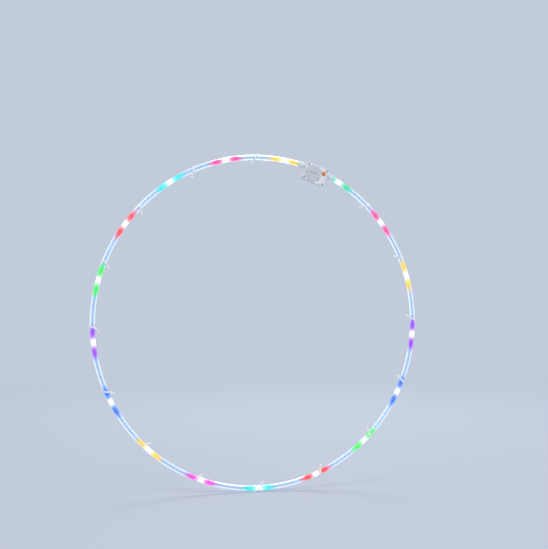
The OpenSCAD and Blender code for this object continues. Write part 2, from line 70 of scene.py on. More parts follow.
# The ring's own measures, all from the frame
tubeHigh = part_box("light_tube")[1]
tubeR = tubeHigh.y
ringR = tubeHigh.z - tubeR
clipMount = next(m for m in frame["record"]["mounts"] if m["name"] == "spoke_clip")
clipAxis = Vector(clipMount["axis"])
caseAngle = math.atan2(clipAxis.x, clipAxis.z)


def ringAngle(point):
    return math.atan2(point.x, point.z)


def arcSpan(node):
    # lowest and highest ring angle of a node, measured from its own middle
    points = [v.co for v in nodes[node].data.vertices]
    middle = ringAngle(sum(points, Vector()) / len(points))
    turns = [math.remainder(ringAngle(p) - middle, math.tau) for p in points]
    return middle + min(turns), middle + max(turns)


def onRing(angle):
    # a place's own frame: x along the tube, y across the ring, z outwards
    return Matrix.Rotation(angle, 4, "Y") @ Matrix.Translation((0, 0, ringR))


def clamped(value):
    return max(0.0, min(1.0, value))


def eased(value):
    # clamped, with a soft start and a soft end
    share = clamped(value)
    return share * share * (3 - 2 * share)


print("ring radius", round(ringR, 4), "tube radius", round(tubeR, 4))
print("case at", round(math.degrees(caseAngle), 2), "degrees")


# Small tools for modelling

def startFresh():
    if bpy.context.object and bpy.context.object.mode != "OBJECT":
        bpy.ops.object.mode_set(mode="OBJECT")
    bpy.ops.object.select_all(action="DESELECT")


def selectOnly(obj):
    startFresh()
    obj.select_set(True)
    bpy.context.view_layer.objects.active = obj


def editAll(obj):
    selectOnly(obj)
    bpy.ops.object.mode_set(mode="EDIT")
    bpy.ops.mesh.select_all(action="SELECT")


def objectMode():
    bpy.ops.object.mode_set(mode="OBJECT")


def faceFacts(face):
    return face.calc_center_median(), face.normal


def edgeFacts(edge):
    start, end = (v.co for v in edge.verts)
    return (start + end) / 2, (end - start).normalized()


def selectWhere(obj, kind, test):
    # called in edit mode; the test gets a face's middle and normal, or an edge's middle and direction
    bpy.ops.mesh.select_mode(type=kind)
    bpy.ops.mesh.select_all(action="DESELECT")
    mesh = bmesh.from_edit_mesh(obj.data)
    parts, facts = (mesh.faces, faceFacts) if kind == "FACE" else (mesh.edges, edgeFacts)
    for part in parts:
        part.select_set(bool(test(*facts(part))))
    mesh.select_flush_mode()
    bmesh.update_edit_mesh(obj.data)


def sliceAll(place, normal, **more):
    # called in edit mode; cuts the whole mesh along a plane, fine enough for parts of a millimetre
    bpy.ops.mesh.select_all(action="SELECT")
    bpy.ops.mesh.bisect(plane_co=place, plane_no=normal, threshold=closeBy, **more)


def faceOutwards(obj, merge=False):
    editAll(obj)
    if merge:
        bpy.ops.mesh.remove_doubles(threshold=closeBy)
    bpy.ops.mesh.normals_make_consistent(inside=False)
    objectMode()


def applyModifiers(obj):
    selectOnly(obj)
    for modifier in list(obj.modifiers):
        bpy.ops.object.modifier_apply(modifier=modifier.name)


def cutAway(obj, cutter):
    # takes the cutter's shape out of a piece, and the cutter out of the scene
    cut = obj.modifiers.new("cut", "BOOLEAN")
    cut.operation = "DIFFERENCE"
    cut.solver = "EXACT"
    cut.object = cutter
    applyModifiers(obj)
    bpy.data.objects.remove(cutter)


def thicken(obj, thickness, outwards=False):
    wall = obj.modifiers.new("wall", "SOLIDIFY")
    wall.thickness = thickness
    wall.offset = 1 if outwards else -1
    applyModifiers(obj)


def roundEdges(obj, width):
    edges = obj.modifiers.new("edges", "BEVEL")
    edges.width = width
    edges.segments = 2
    edges.limit_method = "ANGLE"
    edges.angle_limit = math.radians(50)
    applyModifiers(obj)


def settle(obj):
    # leaves the object at the origin with its place in its mesh
    selectOnly(obj)
    bpy.ops.object.transform_apply(location=True, rotation=True, scale=True)


def smooth(obj, degrees):
    selectOnly(obj)
    bpy.ops.object.shade_smooth_by_angle(angle=math.radians(degrees))


def boxPiece(low, high):
    startFresh()
    bpy.ops.mesh.primitive_cube_add(size=1)
    box = bpy.context.object
    size = [b - a for a, b in zip(low, high)]
    middle = [(a + b) / 2 for a, b in zip(low, high)]
    box.data.transform(Matrix.Translation(middle) @ Matrix.Diagonal((*size, 1)))
    return box


def turnRings(name, rings, sides):
    # stacks round sections along z by extruding and resizing; rings are (height, radius)
    startFresh()
    height, radius = rings[0]
    bpy.ops.mesh.primitive_circle_add(vertices=sides, radius=radius, fill_type="NGON", location=(0, 0, 0))
    obj = bpy.context.object
    obj.name = name
    obj.data.transform(Matrix.Translation((0, 0, height)))
    editAll(obj)
    for nextHeight, nextRadius in rings[1:]:
        bpy.ops.mesh.extrude_region_move(TRANSFORM_OT_translate={"value": (0, 0, nextHeight - height)})
        ratio = nextRadius / radius
        bpy.ops.transform.resize(value=(ratio, ratio, 1), center_override=(0, 0, nextHeight))
        height, radius = nextHeight, nextRadius
    faceOutwards(obj)
    return obj


def spinSection(name, sides, radius, first, last, steps):
    # a round section, spun along the ring from the first angle to the last
    startFresh()
    bpy.ops.mesh.primitive_circle_add(vertices=sides, radius=radius, location=(0, 0, ringR),
                                      rotation=(0, math.pi / 2, 0))
    section = bpy.context.object
    section.name = name
    settle(section)
    section.data.transform(Matrix.Rotation(first, 4, "Y"))
    editAll(section)
    bpy.ops.mesh.spin(steps=steps, angle=last - first, center=(0, 0, 0), axis=(0, -1, 0))
    return section


def pipeAlong(name, route, radius, sides):
    # a round pipe along a route, drawn as a curve and made a mesh; sides are those of a quarter round
    startFresh()
    bpy.ops.curve.primitive_nurbs_path_add(location=(0, 0, 0))
    pipe = bpy.context.object
    pipe.name = name
    curve = pipe.data
    curve.splines.clear()
    spline = curve.splines.new("POLY")
    spline.points.add(len(route) - 1)
    for point, place in zip(spline.points, route):
        point.co = (*place, 1)
    curve.bevel_depth = radius
    curve.bevel_resolution = sides
    curve.use_fill_caps = True
    selectOnly(pipe)
    bpy.ops.object.convert(target="MESH")
    pipe = bpy.context.object
    faceOutwards(pipe, merge=True)
    smooth(pipe, degrees=60)
    return pipe


def joinPieces(name, pieces):
    startFresh()
    for piece in pieces:
        piece.select_set(True)
    bpy.context.view_layer.objects.active = pieces[0]
    if len(pieces) > 1:
        bpy.ops.object.join()
    joined = bpy.context.object
    joined.name = name
    joined.data.name = name
    return joined


def copyPiece(obj, name, place):
    # a copy with its own mesh, moved by the place's matrix
    copied = obj.copy()
    copied.data = obj.data.copy()
    copied.name = name
    copied.data.name = name
    scene.collection.objects.link(copied)
    copied.data.transform(place)
    return copied


def paintShare(obj, name, rule):
    # writes one number for each point as an attribute; the rule gets the point
    layer = obj.data.attributes.new(name, "FLOAT", "POINT")
    for index, vertex in enumerate(obj.data.vertices):
        layer.data[index].value = rule(vertex.co)


def clothe(obj, material):
    obj.data.materials.clear()
    obj.data.materials.append(material)


def dress(obj, material, body, slot, *replaced):
    clothe(obj, material)
    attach(obj, body)
    if replaced:
        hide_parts(*replaced)


# Camera, at the photograph's angle

cameraSettings = {
    "place": (-0.6067, -2.2967, 0.1067),
    "yaw": 15.445,       # degrees to the right of straight ahead
    "pitch": -0.723,
    "lens": 98.36,
    "sensor": 36.0,
}


def makeCamera():
    s = cameraSettings
    data = bpy.data.cameras.new("viewCamera")
    data.lens = s["lens"]
    data.sensor_width = s["sensor"]
    camera = bpy.data.objects.new("viewCamera", data)
    camera.location = s["place"]
    camera.rotation_euler = (math.radians(90 + s["pitch"]), 0, -math.radians(s["yaw"]))
    scene.collection.objects.link(camera)
    scene.camera = camera


makeCamera()
scene.view_settings.view_transform = "Standard"
print("camera set")


# Shader helpers

def feed(tree, node, values):
    # a socket, by name or number, takes a plain value or another node's output; colours are plain (r, g, b)
    for name, value in values.items():
        socket = node.inputs[name]
        if isinstance(value, bpy.types.NodeSocket):
            tree.links.new(value, socket)
        elif socket.type == "RGBA":
            socket.default_value = (*value, 1)
        else:
            socket.default_value = value


def addNode(tree, kind, values=None, **options):
    # values go to the node's sockets, options are its own
    node = tree.nodes.new(kind)
    for key, value in options.items():
        setattr(node, key, value)
    feed(tree, node, values or {})
    return node


def addNoise(tree, place, scale, detail, **more):
    values = {"Vector": place, "Scale": scale, "Detail": detail, **more}
    return addNode(tree, "ShaderNodeTexNoise", values).outputs["Fac"]


def addMath(tree, operation, *values):
    return addNode(tree, "ShaderNodeMath", dict(enumerate(values)), operation=operation).outputs["Value"]


def readShare(tree, name):
    return addNode(tree, "ShaderNodeAttribute", attribute_name=name).outputs["Fac"]


def objectPlace(tree):
    return addNode(tree, "ShaderNodeTexCoord").outputs["Object"]


def mixColours(tree, share, start, end):
    # 0, 6 and 7 are the factor and the two colours of a Mix node in its colour form, and 2 is its result
    return addNode(tree, "ShaderNodeMix", {0: share, 6: start, 7: end}, data_type="RGBA").outputs[2]


def spreadTo(tree, share, low, high):
    values = {"Value": share, "To Min": low, "To Max": high}
    return addNode(tree, "ShaderNodeMapRange", values).outputs["Result"]


def bumpFrom(tree, height, depth, strength):
    values = {"Height": height, "Distance": depth, "Strength": strength}
    return addNode(tree, "ShaderNodeBump", values).outputs["Normal"]


def seenDirectly(tree):
    # 1 for what the camera sees, also by way of gloss and glass
    path = addNode(tree, "ShaderNodeLightPath").outputs
    seen = addMath(tree, "MAXIMUM", path["Is Camera Ray"], path["Is Glossy Ray"])
    return addMath(tree, "MAXIMUM", seen, path["Is Transmission Ray"])


def newFinish(name):
    material = bpy.data.materials.new(name)
    material.use_nodes = True
    tree = material.node_tree
    return material, tree, tree.nodes["Principled BSDF"]


def newGroup(name, inputs, outputs):
    # inputs are colours or plain numbers, told apart by their values; outputs are kinds by name
    group = bpy.data.node_groups.new(name, "ShaderNodeTree")
    for socket, value in inputs.items():
        kind = "NodeSocketColor" if isinstance(value, tuple) else "NodeSocketFloat"
        made = group.interface.new_socket(socket, in_out="INPUT", socket_type=kind)
        made.default_value = (*value, 1) if isinstance(value, tuple) else value
    for socket, kind in outputs.items():
        group.interface.new_socket(socket, in_out="OUTPUT", socket_type="NodeSocket" + kind)
    return group, group.nodes.new("NodeGroupInput").outputs, group.nodes.new("NodeGroupOutput")


def placeGroup(tree, group, values):
    node = addNode(tree, "ShaderNodeGroup", node_tree=group)
    feed(tree, node, values)
    return node.outputs


# Effects that several finishes share

def makeMouldGrain():
    # fine spark-eroded grain, broad tone and handling marks of a moulded surface
    group, entry, out = newGroup(
        "mouldGrain",
        {"Grain Scale": 2600.0, "Tone Scale": 90.0, "Light": (0.8, 0.8, 0.8), "Dark": (0.7, 0.7, 0.7),
         "Rough Low": 0.4, "Rough High": 0.6, "Scuffs": 0.4},
        {"Color": "Color", "Roughness": "Float", "Height": "Float"})
    polish = -0.12      # a mark's share in roughness and in height
    carve = -0.8
    place = objectPlace(group)
    turned = addNode(group, "ShaderNodeMapping",
                     {"Vector": place, "Scale": (0.12, 1.0, 1.0), "Rotation": (0.4, 0.5, 0.9)})
    grain = addNoise(group, place, entry["Grain Scale"], detail=3.0, Roughness=0.6)
    tone = addNoise(group, place, entry["Tone Scale"], detail=4.0, Roughness=0.55)
    scratch = addNoise(group, turned.outputs["Vector"], 700.0, detail=2.0, Distortion=1.5)
    marks = addNode(group, "ShaderNodeMapRange", {
        "Value": scratch, "From Min": 0.66, "From Max": 0.74, "To Max": entry["Scuffs"]}).outputs["Result"]
    rough = spreadTo(group, grain, entry["Rough Low"], entry["Rough High"])
    feed(group, out, {
        "Color": mixColours(group, tone, entry["Dark"], entry["Light"]),
        "Roughness": addMath(group, "MULTIPLY_ADD", marks, polish, rough),
        "Height": addMath(group, "MULTIPLY_ADD", marks, carve, grain)})
    return group


def makeBrushedMetal():
    # drawn streaks along one axis, with dull spots
    group, entry, out = newGroup(
        "brushedMetal",
        {"Light": (0.8, 0.8, 0.8), "Dark": (0.6, 0.6, 0.6), "Rough Low": 0.2, "Rough High": 0.4},
        {"Color": "Color", "Roughness": "Float", "Height": "Float"})
    place = objectPlace(group)
    drawn = addNode(group, "ShaderNodeMapping", {"Vector": place, "Scale": (0.1, 1.0, 1.4)})
    streak = addNoise(group, drawn.outputs["Vector"], 3000.0, detail=3.0)
    spots = addNoise(group, place, 260.0, detail=5.0)
    feed(group, out, {
        "Color": mixColours(group, spots, entry["Dark"], entry["Light"]),
        "Roughness": spreadTo(group, streak, entry["Rough Low"], entry["Rough High"]),
        "Height": streak})
    return group


def makeLampGlow():
    # the lamps' light that a surface near them takes on, from the piece's own glow attribute
    group, entry, out = newGroup(
        "lampGlow",
        {"Clear": (0.95, 0.97, 1), "Base Light": (0, 0, 0), "Tint Share": 0.75, "Glow Share": 0.5},
        {"Color": "Color", "Light": "Color"})
    glow = addNode(group, "ShaderNodeAttribute", attribute_name="glow").outputs
    tinted = addMath(group, "MULTIPLY", glow["Alpha"], entry["Tint Share"])
    dimmed = addNode(group, "ShaderNodeVectorMath", {0: glow["Color"], "Scale": entry["Glow Share"]},
                     operation="SCALE").outputs["Vector"]
    feed(group, out, {
        "Color": mixColours(group, tinted, entry["Clear"], glow["Color"]),
        "Light": mixColours(group, glow["Alpha"], entry["Base Light"], dimmed)})
    return group


mouldGrain = makeMouldGrain()
brushedMetal = makeBrushedMetal()
lampGlow = makeLampGlow()
print("shared effects built")


# Lamps: their places come from the frame, their colours in order round the ring

lampColours = {
    "teal": (0.0, 0.68, 0.33),
    "pink": (1.0, 0.02, 0.33),
    "yellow": (1.0, 0.66, 0.03),
    "purple": (0.40, 0.01, 0.90),
    "blue": (0.01, 0.21, 1.0),
    "green": (0.01, 0.85, 0.03),
    "red": (1.0, 0.01, 0.015),
    "cyan": (0.0, 0.78, 0.74),
    "magenta": (0.85, 0.01, 0.62),
}
lampOrder = ["teal", "pink", "yellow", "purple", "blue", "green", "red", "cyan", "magenta",
             "yellow", "blue", "purple", "green", "red", "cyan", "pink", "yellow"]
lampNodes = [f"led_{i + 1:02d}" for i in range(len(lampOrder))]
white = (1.0, 1.0, 1.0)

lampSettings = {
    "sides": 28,
    "legR": 0.22 * mm,
    "legLength": 1.0 * mm,
    "legApart": 1.2 * mm,
    "lensR": 1.45 * mm,
    "flangeR": 1.55 * mm,
    "flangeT": 0.6 * mm,
    "flangeEdge": 0.12 * mm,
    "length": 5.4 * mm,
    "domeSteps": 7,
    "domeTurn": math.radians(84),
    "waistHeat": 1.25,        # white-hot at the lens's waist, over 1 so that it spreads
    "heatFall": 1.6,          # what it loses along one lens length
    "clearness": 0.5,
    "ior": 1.5,
    "rough": (0.08, 0.3),
    "swirlScale": 900.0,
    "light": 1.4,
}
lampLegAngles = [arcSpan(node)[0] + lampSettings["legR"] / ringR for node in lampNodes]
lampPitch = math.tau / len(lampNodes)

glowSettings = {
    "centre": 3.4 * mm,       # middle of a lamp's light, past its legs
    "hot": 3.6 * mm,          # half the white-hot stretch along the tube
    "cool": 4.5 * mm,         # how fast white turns to colour past it
    "core": 12.0 * mm,        # reach of full colour
    "reach": 32.0 * mm,       # where the last tint ends
}


def glowAt(angle):
    # the colour and share of lamplight that reaches one place on the ring
    s = glowSettings
    colour = Vector((0.0, 0.0, 0.0))
    total = 0.0
    for legAngle, name in zip(lampLegAngles, lampOrder):
        middle = legAngle + s["centre"] / ringR
        away = abs(math.remainder(angle - middle, math.tau)) * ringR
        share = eased((s["reach"] - away) / (s["reach"] - s["core"]))
        hot = math.exp(-max(0.0, away - s["hot"]) / s["cool"])
        colour += share * Vector(lampColours[name]).lerp(Vector(white), hot)
        total += share
    if total > 0:
        colour /= total
    return (*colour, min(1.0, total))


def paintGlow(obj):
    # writes the lamps' light on a piece as its own colour attribute
    layer = obj.data.color_attributes.new("glow", "FLOAT_COLOR", "POINT")
    known = {}
    for index, vertex in enumerate(obj.data.vertices):
        angle = round(ringAngle(vertex.co), 4)
        if angle not in known:
            known[angle] = glowAt(angle)
        layer.data[index].color = known[angle]


# Clear tube, a round section spun along the ring

tubeSettings = {
    "wall": 1.0 * mm,
    "sides": 36,
    "stepsPerLamp": 36,
    "paintedEdgeHighlightPower": 5.5,          # how close to the tube's edges their light stays
    # painted highlight along the tube's outer and inner edges, set in its emission
    "rimLight": (0.62, 0.68, 0.80),
    # painted glow over the rest of the tube's wall, set in its emission
    "paintedWallGlow": (0.05, 0.08, 0.15),
    "clear": (0.84, 0.92, 1.0),
    "light": 0.35,
    "ior": 1.45,
    "rough": (0.02, 0.14),
    "hazeScale": 420.0,
    "rippleScale": 140.0,
    "rippleDepth": 0.05 * mm,
}


def tubeGap():
    # half the opening that the case fills, as an angle on the ring
    points = [v.co for v in nodes["light_tube"].data.vertices]
    return min(abs(math.remainder(ringAngle(p) - caseAngle, math.tau)) for p in points)


def paintedEdgeHighlightShare(point):
    # how far a place on the tube's wall faces outwards or inwards on the ring: the share of the painted highlight
    # along the tube's edges
    outwards = math.hypot(point.x, point.z) - ringR
    return (abs(outwards) / math.hypot(outwards, point.y)) ** tubeSettings["paintedEdgeHighlightPower"]


def makeTube():
    s = tubeSettings
    first, last = caseAngle + tubeGap(), caseAngle + math.tau - tubeGap()
    made = spinSection("clearTube", s["sides"], tubeR, first, last, s["stepsPerLamp"] * len(lampNodes))
    faceOutwards(made, merge=True)
    thicken(made, s["wall"])
    smooth(made, degrees=50)
    paintGlow(made)
    # the share of the painted edge highlight, kept as an attribute
    paintShare(made, "rim", paintedEdgeHighlightShare)
    return made


def finishTube():
    s = tubeSettings
    material, tree, shader = newFinish("clearTubeFinish")
    place = objectPlace(tree)
    # painted light on the tube's wall: a dim painted glow that turns into a painted highlight at its edges
    paintedWallAndEdgeLight = mixColours(tree, readShare(tree, "rim"), s["paintedWallGlow"], s["rimLight"])
    glow = placeGroup(tree, lampGlow, {"Clear": s["clear"], "Base Light": paintedWallAndEdgeLight})
    ripple = addNoise(tree, place, s["rippleScale"], detail=2.0)
    haze = addNoise(tree, place, s["hazeScale"], detail=4.0)
    feed(tree, shader, {
        "Base Color": glow["Color"], "Emission Color": glow["Light"], "Emission Strength": s["light"],
        "Roughness": spreadTo(tree, haze, *s["rough"]), "Transmission Weight": 1.0, "IOR": s["ior"],
        "Normal": bumpFrom(tree, ripple, s["rippleDepth"], strength=0.5)})
    return material


tube = makeTube()
dress(tube, finishTube(), "ring", "clear_tube", "light_tube")
print("tube", len(tube.data.polygons), "faces")


# Two wires, twisted between the lamps and parted beside each of them

wireSettings = {
    "radius": 0.5 * mm,
    "closeR": 0.53 * mm,       # from the tube's middle line while the pair lies together
    "berthR": 2.26 * mm,       # beside a lamp
    "parting": 8.0 * mm,
    "turns": 8,                # between one lamp and the next
    "pointsPerLamp": 120,
    "leadIn": 29.0 * mm,       # before the first lamp's legs, into the case
    "tailOut": 4.6 * mm,       # past the last lamp's legs
    "sides": 3,                # of the curve's bevel, a quarter round each
    "rough": (0.25, 0.45),
    "streakDepth": 0.03 * mm,
    "coat": 0.5,
    "light": 0.8,
    "pair": {                  # light and dark tone of each wire, and the node it stands for
        "feedWire": ((0.86, 0.88, 0.90), (0.70, 0.72, 0.75), "wire_feed"),
        "returnWire": ((0.80, 0.84, 0.90), (0.62, 0.67, 0.76), "wire_return"),
    },
}


def wirePlace(travel, side):
    s = wireSettings
    pitch = lampPitch * ringR
    legs = lampSettings["legLength"]
    lampReach = legs + lampSettings["length"]
    lamp = max(0, min(len(lampNodes) - 1, round((travel - lampReach / 2) / pitch)))
    past = travel - lamp * pitch
    parted = eased(1 - max(-past - legs, past - lampReach, 0) / s["parting"])
    off = s["closeR"] + (s["berthR"] - s["closeR"]) * parted
    free = travel - math.floor(travel / pitch) * pitch - lampReach - s["parting"] / 2
    free /= pitch - lampReach - s["parting"] - legs
    twist = math.tau * s["turns"] * clamped(free)
    if travel < 0:
        twist = math.tau * s["turns"] * min(0.0, travel + s["parting"]) / pitch
    phase = math.pi * side + twist
    angle = lampLegAngles[0] + travel / ringR
    return onRing(angle) @ Vector((0, off * math.sin(phase), off * math.cos(phase)))


def makeWire(name, side):
    s = wireSettings
    pitch = lampPitch * ringR
    span = s["leadIn"] + pitch * (len(lampNodes) - 1) + s["tailOut"]
    count = round(span / pitch * s["pointsPerLamp"])
    route = [wirePlace(span * i / count - s["leadIn"], side) for i in range(count + 1)]
    made = pipeAlong(name, route, s["radius"], s["sides"])
    paintGlow(made)
    return made


def placeMetal(tree, light, dark, low, high):
    values = {"Light": light, "Dark": dark, "Rough Low": low, "Rough High": high}
    return placeGroup(tree, brushedMetal, values)


def finishWire(name, light, dark):
    s = wireSettings
    material, tree, shader = newFinish(name)
    metal = placeMetal(tree, light, dark, *s["rough"])
    glow = placeGroup(tree, lampGlow, {"Clear": metal["Color"]})
    feed(tree, shader, {
        "Base Color": glow["Color"], "Emission Color": glow["Light"], "Emission Strength": s["light"],
        "Roughness": metal["Roughness"], "Coat Weight": s["coat"],
        "Normal": bumpFrom(tree, metal["Height"], s["streakDepth"], strength=0.6)})
    return material


for wireSide, (wireName, (lightTone, darkTone, wireNode)) in enumerate(wireSettings["pair"].items()):
    wire = makeWire(wireName, wireSide)
    dress(wire, finishWire(wireName + "Finish", lightTone, darkTone), "ring", "wire_skin", wireNode)
print("wires", len(wire.data.polygons), "faces each")


# Lamp bodies

def whiteHotShare(point):
    # how white-hot the lens is: most at its waist, least at the flange and the tip
    s = lampSettings
    share = (point.x - s["legLength"]) / s["length"]
    return clamped(s["waistHeat"] - abs(share - 0.5) * s["heatFall"])


def makeLens():
    s = lampSettings
    edge = s["flangeEdge"]
    straight = s["length"] - s["lensR"]
    rings = [(0, s["flangeR"] - edge), (edge, s["flangeR"]), (s["flangeT"] - edge, s["flangeR"]),
             (s["flangeT"], s["flangeR"] - edge), (s["flangeT"], s["lensR"]), (straight / 2, s["lensR"]),
             (straight, s["lensR"])]
    for i in range(1, s["domeSteps"] + 1):
        tilt = s["domeTurn"] * i / s["domeSteps"]
        rings.append((straight + s["lensR"] * math.sin(tilt), s["lensR"] * math.cos(tilt)))
    lens = turnRings("lensModel", rings, s["sides"])
    lens.data.transform(Matrix.Translation((s["legLength"], 0, 0)) @ alongX)
    smooth(lens, degrees=50)
    paintShare(lens, "whiteHot", whiteHotShare)
    return lens


def finishLens(name, colour):
    s = lampSettings
    material, tree, shader = newFinish(name)
    lit = mixColours(tree, readShare(tree, "whiteHot"), colour, white)
    swirl = addNoise(tree, objectPlace(tree), s["swirlScale"], detail=2.0)
    feed(tree, shader, {
        "Base Color": lit, "Emission Color": lit, "Emission Strength": s["light"],
        "Transmission Weight": s["clearness"], "IOR": s["ior"],
        "Roughness": spreadTo(tree, swirl, *s["rough"])})
    return material


def makeLamps():
    lens = makeLens()
    finishes = {name: finishLens(name + "LensFinish", colour) for name, colour in lampColours.items()}
    for index, (node, name) in enumerate(zip(lampNodes, lampOrder)):
        lamp = copyPiece(lens, f"lamp{index + 1:02d}", onRing(lampLegAngles[index]))
        dress(lamp, finishes[name], "ring", "lamp_" + name, node)
    bpy.data.objects.remove(lens)


makeLamps()
print("lamps", len(lampNodes))


# What a lens holds: two leads, a cup with the glowing die, a bond wire, and solder on the wires

leadSettings = {
    "bendR": 0.35 * mm,
    "bendSteps": 3,
    "sides": 2,               # of the curve's bevel, a quarter round each
    "sink": 0.8,              # how far a lead goes into its wire, as a share of the wire's radius
    "cupFoot": 2.2 * mm,      # from the legs to the cup
    "cupHeight": 0.75 * mm,
    "cupR": 0.62 * mm,
    "cupOff": 0.4,            # off the lens's axis, as a share of half the space of the legs
    "cupShape": [(0, 0.45), (0.5, 1), (1, 1), (1, 0.85), (0.6, 0.5)],     # shares of height and radius
    "cupSides": 16,
    "postOff": -1.15,
    "postShape": [(0, 1), (0.4, 1.5), (1, 1.5)],     # shares of the cup's height and the leg's radius
    "postSides": 8,
    "bondR": 0.05 * mm,
    "bondArch": [(-0.1875, 0.4), (0.35, 0.05), (0.4, -0.5), (0, -1.15)],     # mm over the cup, share off axis
    "bondSides": 1,
    "dieSize": 0.3 * mm,
    "dieEdge": 0.05 * mm,
    "dieWarm": (1.0, 0.95, 0.88),
    "dieGrain": 4000.0,
    "dieLight": 6.0,
    "solderR": 0.55 * mm,
    "solderLong": 1.35,       # of its radius
    "solderSwell": 0.12,
    "solderWaves": 3,
    "solderSink": 0.75,
    "solderSteps": 8,
    "solderSides": 14,
    "solderDepth": 0.05 * mm,
    "tinned": ((0.78, 0.78, 0.77), (0.60, 0.60, 0.61), 0.18, 0.36),     # two tones, two ends of roughness
    "solder": ((0.72, 0.73, 0.75), (0.5, 0.51, 0.54), 0.2, 0.45),
}
legHalf = lampSettings["legApart"] / 2


def leadRoute(side):
    # from inside the lens back to the bend, then out to the wire
    s = leadSettings
    apart = side * legHalf
    reach = side * (wireSettings["berthR"] - wireSettings["radius"] * s["sink"])
    route = [(s["cupFoot"], 0, apart)]
    for i in range(s["bendSteps"] + 1):
        turn = math.pi / 2 * i / s["bendSteps"]
        route.append((s["bendR"] * (1 - math.sin(turn)), 0, apart + side * s["bendR"] * (1 - math.cos(turn))))
    return route + [(0, 0, reach)]


def makeLeads():
    s = leadSettings
    tall, legR = s["cupHeight"], lampSettings["legR"]
    leads = [pipeAlong("lead", leadRoute(side), legR, s["sides"]) for side in (-1, 1)]
    cup = turnRings("cup", [(tall * up, s["cupR"] * out) for up, out in s["cupShape"]], s["cupSides"])
    cup.data.transform(Matrix.Translation((s["cupFoot"], 0, legHalf * s["cupOff"])) @ alongX)
    post = turnRings("post", [(tall * up, legR * out) for up, out in s["postShape"]], s["postSides"])
    post.data.transform(Matrix.Translation((s["cupFoot"], 0, legHalf * s["postOff"])) @ alongX)
    top = s["cupFoot"] + tall
    arch = [(top + up * mm, 0, legHalf * off) for up, off in s["bondArch"]]
    bond = pipeAlong("bond", arch, s["bondR"], s["bondSides"])
    return joinPieces("leadModel", leads + [cup, post, bond])


def makeDie():
    # a small block on the cup's floor
    s = leadSettings
    startFresh()
    bpy.ops.mesh.primitive_cube_add(size=s["dieSize"])
    die = bpy.context.object
    editAll(die)
    bpy.ops.mesh.bevel(offset=s["dieEdge"], segments=2, affect="EDGES")
    objectMode()
    height = s["cupFoot"] + s["cupHeight"] * s["cupShape"][-1][0] + s["dieSize"] / 2
    die.data.transform(Matrix.Translation((height, 0, legHalf * s["cupOff"])))
    return die


def makeSolder():
    s = leadSettings
    rings = []
    for i in range(1, s["solderSteps"]):
        tilt = math.pi * i / s["solderSteps"]
        swell = 1 + s["solderSwell"] * math.sin(s["solderWaves"] * tilt)
        height = -s["solderR"] * s["solderLong"] * math.cos(tilt)
        rings.append((height, s["solderR"] * math.sin(tilt) * swell))
    out = wireSettings["berthR"] - wireSettings["radius"] * s["solderSink"]
    blobs = []
    for side in (-1, 1):
        blob = turnRings("blob", rings, s["solderSides"])
        blob.data.transform(Matrix.Translation((0, 0, side * out)) @ alongX)
        smooth(blob, degrees=80)
        blobs.append(blob)
    return joinPieces("solderModel", blobs)


def finishMetal(name, light, dark, low, high, depth=0.02 * mm):
    material, tree, shader = newFinish(name)
    metal = placeMetal(tree, light, dark, low, high)
    feed(tree, shader, {
        "Base Color": metal["Color"], "Roughness": metal["Roughness"], "Metallic": 1.0,
        "Normal": bumpFrom(tree, metal["Height"], depth, strength=0.5)})
    return material


def finishDie():
    material, tree, shader = newFinish("dieFinish")
    spread = addNoise(tree, objectPlace(tree), leadSettings["dieGrain"], detail=2.0)
    warmth = mixColours(tree, spread, leadSettings["dieWarm"], white)
    feed(tree, shader, {
        "Base Color": warmth, "Emission Color": warmth, "Emission Strength": leadSettings["dieLight"]})
    return material


def spreadOverLamps(model, name):
    copies = [copyPiece(model, name + "Copy", onRing(angle)) for angle in lampLegAngles]
    bpy.data.objects.remove(model)
    return joinPieces(name, copies)


lampLeads = spreadOverLamps(makeLeads(), "lampLeads")
lampDies = spreadOverLamps(makeDie(), "lampDies")
solderJoints = spreadOverLamps(makeSolder(), "solderJoints")
tinned = finishMetal("tinnedLeadFinish", *leadSettings["tinned"])
solder = finishMetal("solderFinish", *leadSettings["solder"], depth=leadSettings["solderDepth"])
dress(lampLeads, tinned, "ring", "screw_steel")
dress(lampDies, finishDie(), "ring", "plunger_plastic")
dress(solderJoints, solder, "ring", "screw_steel")
print("leads, dies and solder joints")


# Nylon ties: a strap round tube and rod, a head with its window and a toothed tail

tieSettings = {
    "room": 0.1 * mm,         # inside the strap, round the tube
    "backY": 6.11 * mm,       # the strap's inner face behind the rod
    "bendR": 1.8 * mm,
    "width": 2.5 * mm,
    "thick": 1.0 * mm,
    "slant": math.radians(32.74),
    "headWide": 4.4 * mm,
    "headTall": 4.2 * mm,
    "headOut": 8.26 * mm,     # far face of the head, along the slant
    "headR": 0.6 * mm,        # its corners
    "windowDeep": 1.2 * mm,
    "windowRoom": 0.32 * mm,
    "tail": 5.0 * mm,
    "tailY": -0.5 * mm,
    "tailCut": math.radians(12),
    "tailTrim": 0.04 * mm,    # taken off the tail's longest corner, so that the cut goes right across
    "toothPitch": 0.8 * mm,
    "toothSide": 0.3 * mm,
    "toothOut": 0.15 * mm,
    "edge": 0.14 * mm,
    "places": 16,
    "arcSteps": 22,
    "bendSteps": 6,
    "cutterLong": 30 * mm,
    "nylon": ((0.93, 0.94, 0.93), (0.82, 0.84, 0.84), 0.25, 0.45),     # two tones, two ends of roughness
}


